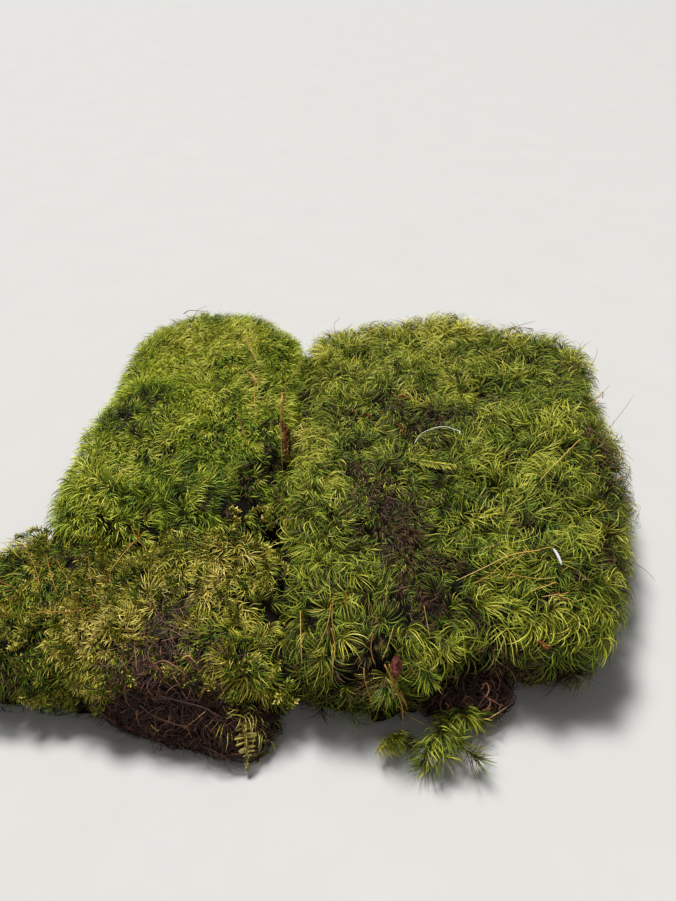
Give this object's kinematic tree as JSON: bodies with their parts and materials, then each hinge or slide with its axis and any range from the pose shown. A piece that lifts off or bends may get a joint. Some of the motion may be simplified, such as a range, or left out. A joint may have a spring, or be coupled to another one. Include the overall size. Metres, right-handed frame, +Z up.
{
  "type": "moss clump",
  "caption": "Low clump of living moss: three rounded leafy cushions grown together, with exposed brown roots at the front, loose shoots and scattered straws.",
  "frame": {"origin": "centre of the clump's plan box, on the surface that it rests on", "axes": "+X to the right along the longest side, with the large cushion on +X; +Y to the back, with the root masses and loose shoots at the front on -Y; +Z up"},
  "size_m": [0.273, 0.2474, 0.0456],
  "materials": {
    "fork_moss": "soft leaf with a faint waxy sheen, dark at the base and yellow-green at the tips",
    "fine_moss": "fine combed leaf, deep green with yellow-green crowns",
    "mixed_moss": "mixed short leaves, olive to yellow-green",
    "roots": "matt tangled dark brown root hairs and peat",
    "frond": "matt golden olive",
    "dry_leaf": "matt dry russet",
    "pale_fibre": "matt off-white",
    "pale_scrap": "matt lilac-white",
    "straw": "satin dry straw",
    "twig": "matt russet-brown"
  },
  "bodies": {
    "root": {"moss_cushion_right": "fork_moss", "moss_cushion_back_left": "fine_moss", "moss_cushion_front_left": "mixed_moss", "root_mass_front_left": "roots", "root_mass_right": "roots", "loose_shoot_large": "fork_moss", "loose_shoot_small": "fork_moss", "feather_frond": "frond", "surface_frond": "frond", "dry_leaf": "dry_leaf", "pale_fibre": "pale_fibre", "pale_scrap": "pale_scrap", "straw_right_long": "straw", "straw_right_low": "straw", "straw_right_short": "straw", "straw_right_slanting": "straw", "straw_right_far": "straw", "straw_back_left_long": "straw", "straw_back_left_short": "straw", "straw_front_left_edge": "straw", "straw_front_left_upright": "straw", "straw_front_left_middle": "straw", "straw_front_edge": "straw", "straw_front_long": "straw", "straw_front_fork": "straw", "twig_right_back": "twig", "twig_between_cushions": "twig", "twig_back_left": "twig"}
  },
  "joints": []
}
